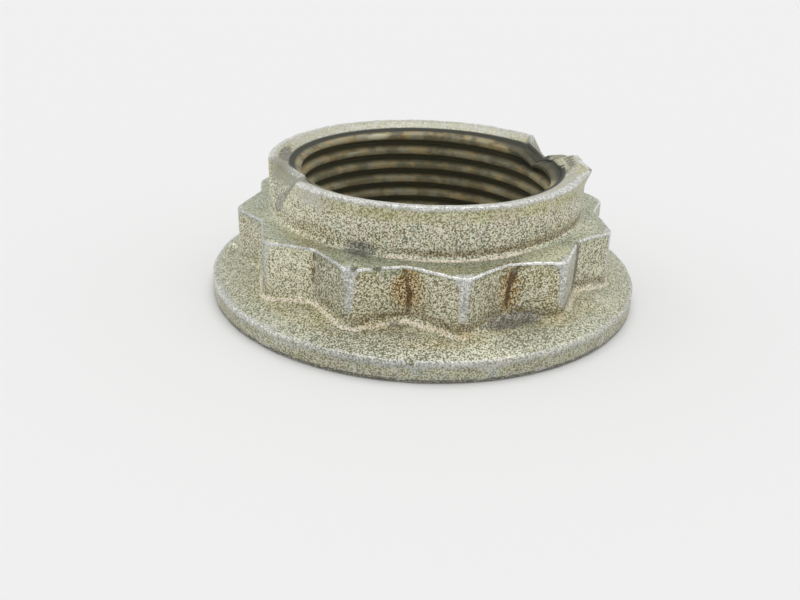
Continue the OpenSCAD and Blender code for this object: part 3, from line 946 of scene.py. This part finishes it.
def zincFinish():
    finish = bpy.data.materials.new("speckledZinc")
    finish.use_nodes = True
    tree = finish.node_tree
    tree.nodes.clear()
    sheet = Signal(tree)
    coords = sheet.node("ShaderNodeTexCoord").pick("Object")
    place = sheet.node("ShaderNodeVectorMath", {"operation": "SCALE"}, {0: coords, "Scale": 1 / mm})
    split = sheet.node("ShaderNodeSeparateXYZ", sockets={0: place})
    x, y, z = split.pick(0), split.pick(1), split.pick(2)
    radius = sheet.maths("SQRT", x * x + y * y)
    noises = {}
    for name, (scale, detail, roughness, distortion) in grains.items():
        sockets = {"Vector": place, "Scale": scale, "Detail": detail}
        sockets.update({"Roughness": roughness, "Distortion": distortion})
        noises[name] = sheet.node("ShaderNodeTexNoise", {"noise_dimensions": "3D"}, sockets)
    fine, clump, patch = noises["fine"], noises["clump"], noises["patch"]
    tint, broken = noises["tint"], noises["broken"]
    speck = fine * 0.82 + clump * 0.18
    made = {}  # what the layers come to, by name

    def layer(name):
        return sheet.node("ShaderNodeAttribute", {"attribute_name": name}).pick("Fac")

    def ragged(name, share):
        *amounts, low, high = brokenEdges[name]
        for signal, amount in zip((broken, clump, fine), amounts):
            if amount:
                share = share + (signal - 0.5) * amount
        made[name] = share.between(low, high)
        return made[name]

    def balance(name):
        value, amounts = balances[name]
        for part, amount in amounts.items():
            value = value + made[part] * amount
        return value

    rubbed, pressed, cove, green = layer("rubbed"), layer("pressed"), layer("cove"), layer("green")
    rust, calm, tinted, clear = layer("rust"), layer("calm"), layer("tinted"), layer("clear")
    colour = zinc["olive"]
    for name, low, high, strength, wash in washes:
        colour = mixed(noises[name].between(low, high) * strength, colour, zinc[wash])
    colour = mixed(green * 0.7, colour, zinc["green"])
    colour = mixed(tinted * patch.between(0.5, 0.62) * 0.6, colour, zinc["mauve"])
    colour = mixed(tinted * patch.between(0.48, 0.38) * 0.6, colour, zinc["grey"])
    colour = mixed(calm * (1 - green) * patch.between(0.3, 0.55) * 0.75, colour, zinc["yellow"])
    colour = mixed(layer("ochre") * (0.25 + 0.6 * patch.between(0.35, 0.65)), colour, zinc["ochre"])
    colour = mixed(layer("blush").between(0.1, 0.8) * 0.5, colour, zinc["pink"])
    # lighter where clean or worn, and painted light on walls facing the light, on the collar's left and on
    # the pip
    colour = mixed(clear.between(0.1, 0.9) * 0.6, colour, zinc["clear"])
    # darker in tone, and painted shade on walls facing away from the light, on the upturned flange and
    # below the pip
    colour = mixed(layer("dimToneAndShade").between(0.1, 0.9) * 0.75, colour, zinc["dimToneAndShade"])
    made.update({"pressed": pressed, "green": green, "calm": calm})
    made["coveHighlight"] = cove.between(0.25, 0.85)
    made["coveDirtAndShade"] = (0 - cove).between(0.1, 0.95)

    # stains over the plating, with the fillets' painted highlight and painted shade
    # painted highlight where a fillet faces the light
    colour = mixed(made["coveHighlight"] * 0.7, colour, zinc["paintedHighlight"])
    aged = sheet.maths("MAXIMUM", made["coveDirtAndShade"] * 0.8, layer("stain"))
    aged = ragged("aged", sheet.maths("MAXIMUM", aged, rust))
    colour = mixed(aged * 0.6, colour, zinc["brown"])
    # painted shade with dirt at the head of each fillet, darkest in the crease
    creaseDirtAndShadeShare = made["coveDirtAndShade"] * (0.4 + 0.3 * broken.between(0.35, 0.6))
    colour = mixed(creaseDirtAndShadeShare, colour, zinc["creaseDirtAndShade"])
    rustShare = ragged("rust", rust)
    colour = mixed(rustShare * 0.8, colour, zinc["rust"])
    streakShare = ragged("streak", layer("streak"))
    colour = mixed(streakShare * 0.85, colour, zinc["streak"])
    # soot, and painted shade: the contact shadow under the flange and the left stake's crease
    sootAndShadeShare = ragged("sootAndShade", layer("sootAndShade"))
    colour = mixed(sootAndShadeShare * (0.85 - 0.25 * pressed), colour, zinc["sootAndShade"])
    colour = mixed(ragged("grey", rubbed) * 0.75, colour, zinc["grey"])
    colour = mixed(pressed * (0.55 + 0.3 * broken), colour, zinc["pressed"])

    # dark and light specks, then what is rubbed bright
    made["dark"] = (speck - rust * 0.03).between(0.51, 0.4)
    depth = balance("depth")
    shade = mixed(aged * 0.35 + rustShare * 0.6, zinc["shade"], zinc["shadeBrown"])
    colour = mixed(made["dark"] * depth, colour, shade)
    lightShare = speck.between(0.49, 0.57) * (depth - 0.15 - 0.25 * green)
    lightShare = lightShare * (1 - 0.4 * rustShare - 0.5 * streakShare)
    colour = mixed(lightShare, colour, zinc["spark"])
    colour = mixed(ragged("bright", rubbed) * 0.7, colour, zinc["bright"])

    # the oily bore: grooves darkened as oil and painted shade, darkest near the top, crests lighter as worn
    # metal and painted highlight
    inBore = radius.between(*oilAndShadeBands["radius"]) * z.between(*oilAndShadeBands["top"])
    # lighter crests, worn and with painted highlight; darker grooves, oily and with painted shade
    crest = (radius - z.between(*oilAndShadeBands["mouth"]) * oilAndShadeBands["mouthShift"]).between(*oilAndShadeBands["crest"])
    crestColour = mixed(tint.between(0.4, 0.6), zinc["crestWornAndLit"], zinc["oilGrey"])
    groove = mixed(z.between(*oilAndShadeBands["topGroove"]), zinc["grooveOilAndShade"], zinc["deepOilAndShade"])
    boreOilAndShade = mixed(crest * (0.35 + 0.65 * patch.between(0.38, 0.6)), groove, crestColour)
    boreOilAndShade = mixed(sootAndShadeShare * 0.75, boreOilAndShade, zinc["deepOilAndShade"])
    boreOilAndShade = mixed(clear.between(0.2, 0.9) * 0.8, boreOilAndShade, zinc["oilWorn"])
    colour = mixed(inBore, colour, boreOilAndShade)
    made["bore"] = inBore

    lift = speck * (1 - 0.5 * made["bright"]) * (1 - 0.6 * pressed) * (1 - 0.8 * inBore)
    bump = sheet.node("ShaderNodeBump", sockets={"Strength": 0.5, "Distance": 0.08 * mm, "Height": lift})
    sockets = {"Base Color": colour, "Roughness": balance("roughness")}
    sockets.update({"Metallic": balance("metallic"), "Normal": bump})
    shader = sheet.node("ShaderNodeBsdfPrincipled", sockets=sockets)
    out = tree.nodes.new("ShaderNodeOutputMaterial")
    tree.links.new(shader.socket, out.inputs["Surface"])
    return finish


studio = {
    "camera": (0, -72.137, 32.043),
    "tilt": (64.469, -1.701, 2.397),
    "lens": 36.876,
    "sensor": 36,
    "clip": (0.001, 10),
    "white": 0.87,
    "fill": 0.635,
    "lamps": {  # strength, angle, tilt
        "softKey": (0.88, 50, (-8, 0, -30)),
        "leftSoft": (0.35, 70, (0, -62, 0)),
        "rightSoft": (0.25, 70, (0, 62, 0)),
    },
    "floor": linear(240, 240, 240),
    "floorSize": 3.0,
    "floorRoughness": 0.9,
    "floorShine": 0.1,
}


def studioSet():
    scene = bpy.context.scene
    lens = bpy.data.cameras.new("photoCamera")
    lens.lens = studio["lens"]
    lens.sensor_width = studio["sensor"]
    lens.clip_start, lens.clip_end = studio["clip"]
    camera = bpy.data.objects.new("photoCamera", lens)
    camera.location = Vector(studio["camera"]) * mm
    camera.rotation_euler = [math.radians(angle) for angle in studio["tilt"]]
    scene.collection.objects.link(camera)
    scene.camera = camera
    for name, (strength, width, tilt) in studio["lamps"].items():
        lamp = bpy.data.lights.new(name, "SUN")
        lamp.energy = strength
        lamp.angle = math.radians(width)
        holder = bpy.data.objects.new(name, lamp)
        holder.rotation_euler = [math.radians(angle) for angle in tilt]
        scene.collection.objects.link(holder)
    world = bpy.data.worlds.new("paleRoom")
    scene.world = world
    world.use_nodes = True
    tree = world.node_tree
    tree.nodes.clear()
    sheet = Signal(tree)
    path = sheet.node("ShaderNodeLightPath")
    seen = sheet.maths("MAXIMUM", path.pick("Is Camera Ray"), path.pick("Is Glossy Ray"))
    seen = sheet.maths("MAXIMUM", seen, path.pick("Is Transmission Ray"))
    strength = studio["fill"] + seen * (studio["white"] - studio["fill"])
    back = sheet.node("ShaderNodeBackground", sockets={"Color": (1, 1, 1, 1), "Strength": strength})
    out = tree.nodes.new("ShaderNodeOutputWorld")
    tree.links.new(back.socket, out.inputs["Surface"])
    half = studio["floorSize"] / 2
    corners = [(-half, -half, 0), (half, -half, 0), (half, half, 0), (-half, half, 0)]
    mesh = bpy.data.meshes.new("floor")
    mesh.from_pydata(corners, [], [(0, 1, 2, 3)])
    floor = bpy.data.objects.new("floor", mesh)
    scene.collection.objects.link(floor)
    paper = bpy.data.materials.new("palePaper")
    paper.use_nodes = True
    shader = paper.node_tree.nodes["Principled BSDF"]
    shader.inputs["Base Color"].default_value = studio["floor"]
    shader.inputs["Roughness"].default_value = studio["floorRoughness"]
    shader.inputs["Specular IOR Level"].default_value = studio["floorShine"]
    mesh.materials.append(paper)
    scene.view_settings.view_transform = "Standard"


studioSet()
print("studio ready")
finish = zincFinish()
piece = formedNut(finish)
print("form made:", len(piece.data.vertices), "points")
paintForm(piece, *finishForm(piece))
print("surface finished")
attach(piece, "root")
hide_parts("flange_nut")
